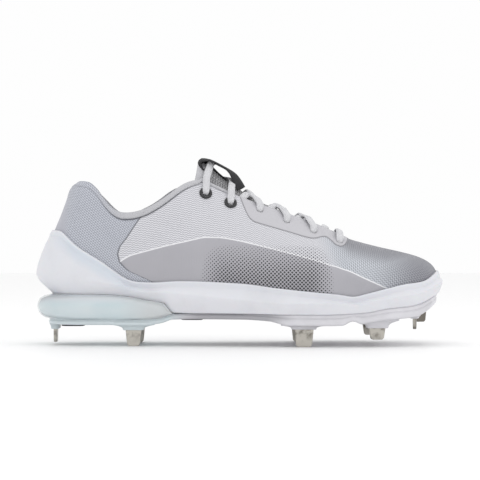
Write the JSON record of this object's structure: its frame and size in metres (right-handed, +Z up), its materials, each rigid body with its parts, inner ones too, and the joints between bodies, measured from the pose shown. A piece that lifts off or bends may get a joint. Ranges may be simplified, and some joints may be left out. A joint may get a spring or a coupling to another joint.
{
  "type": "baseball cleat",
  "caption": "Low laced baseball cleat with metal blade studs, a raised heel cup and a clear heel air unit, standing empty and unbent.",
  "frame": {"origin": "bottom centre of the shoe's box, on the floor plane that the heel and ball studs stand on", "axes": "+X from heel to toe, +Y to the medial side, +Z up"},
  "size_m": [0.3, 0.106, 0.137],
  "materials": {
    "upper_textile": "woven and film coated",
    "carrier_foam": "satin moulded",
    "clear_air_unit": "clear gloss",
    "plate_plastic": "satin",
    "stud_steel": "pressed steel",
    "insole_textile": "matte knit",
    "tongue_textile": "ribbed knit",
    "band_textile": "woven tape",
    "eyelet_rubber": "satin",
    "lace_textile": "flat braid"
  },
  "bodies": {
    "root": {"upper": "upper_textile", "midsole": "carrier_foam", "air_unit": "clear_air_unit", "outsole_plate": "plate_plastic", "insole": "insole_textile", "tongue": "tongue_textile", "tongue_band": "band_textile", "eyelet_ring_1_lateral": "eyelet_rubber", "eyelet_ring_1_medial": "eyelet_rubber", "eyelet_ring_2_lateral": "eyelet_rubber", "eyelet_ring_2_medial": "eyelet_rubber", "lace_crossing_2": "lace_textile", "lace_crossing_3": "lace_textile", "lace_crossing_4": "lace_textile", "lace_crossing_5": "lace_textile", "lace_toe_bar": "lace_textile", "lace_top": "lace_textile", "stud_heel_back": "stud_steel", "stud_heel_lateral": "stud_steel", "stud_heel_medial": "stud_steel", "stud_ball_lateral": "stud_steel", "stud_ball_medial": "stud_steel", "stud_fore_lateral": "stud_steel", "stud_fore_medial": "stud_steel", "stud_toe_lateral": "stud_steel", "stud_toe_medial": "stud_steel"}
  },
  "joints": []
}
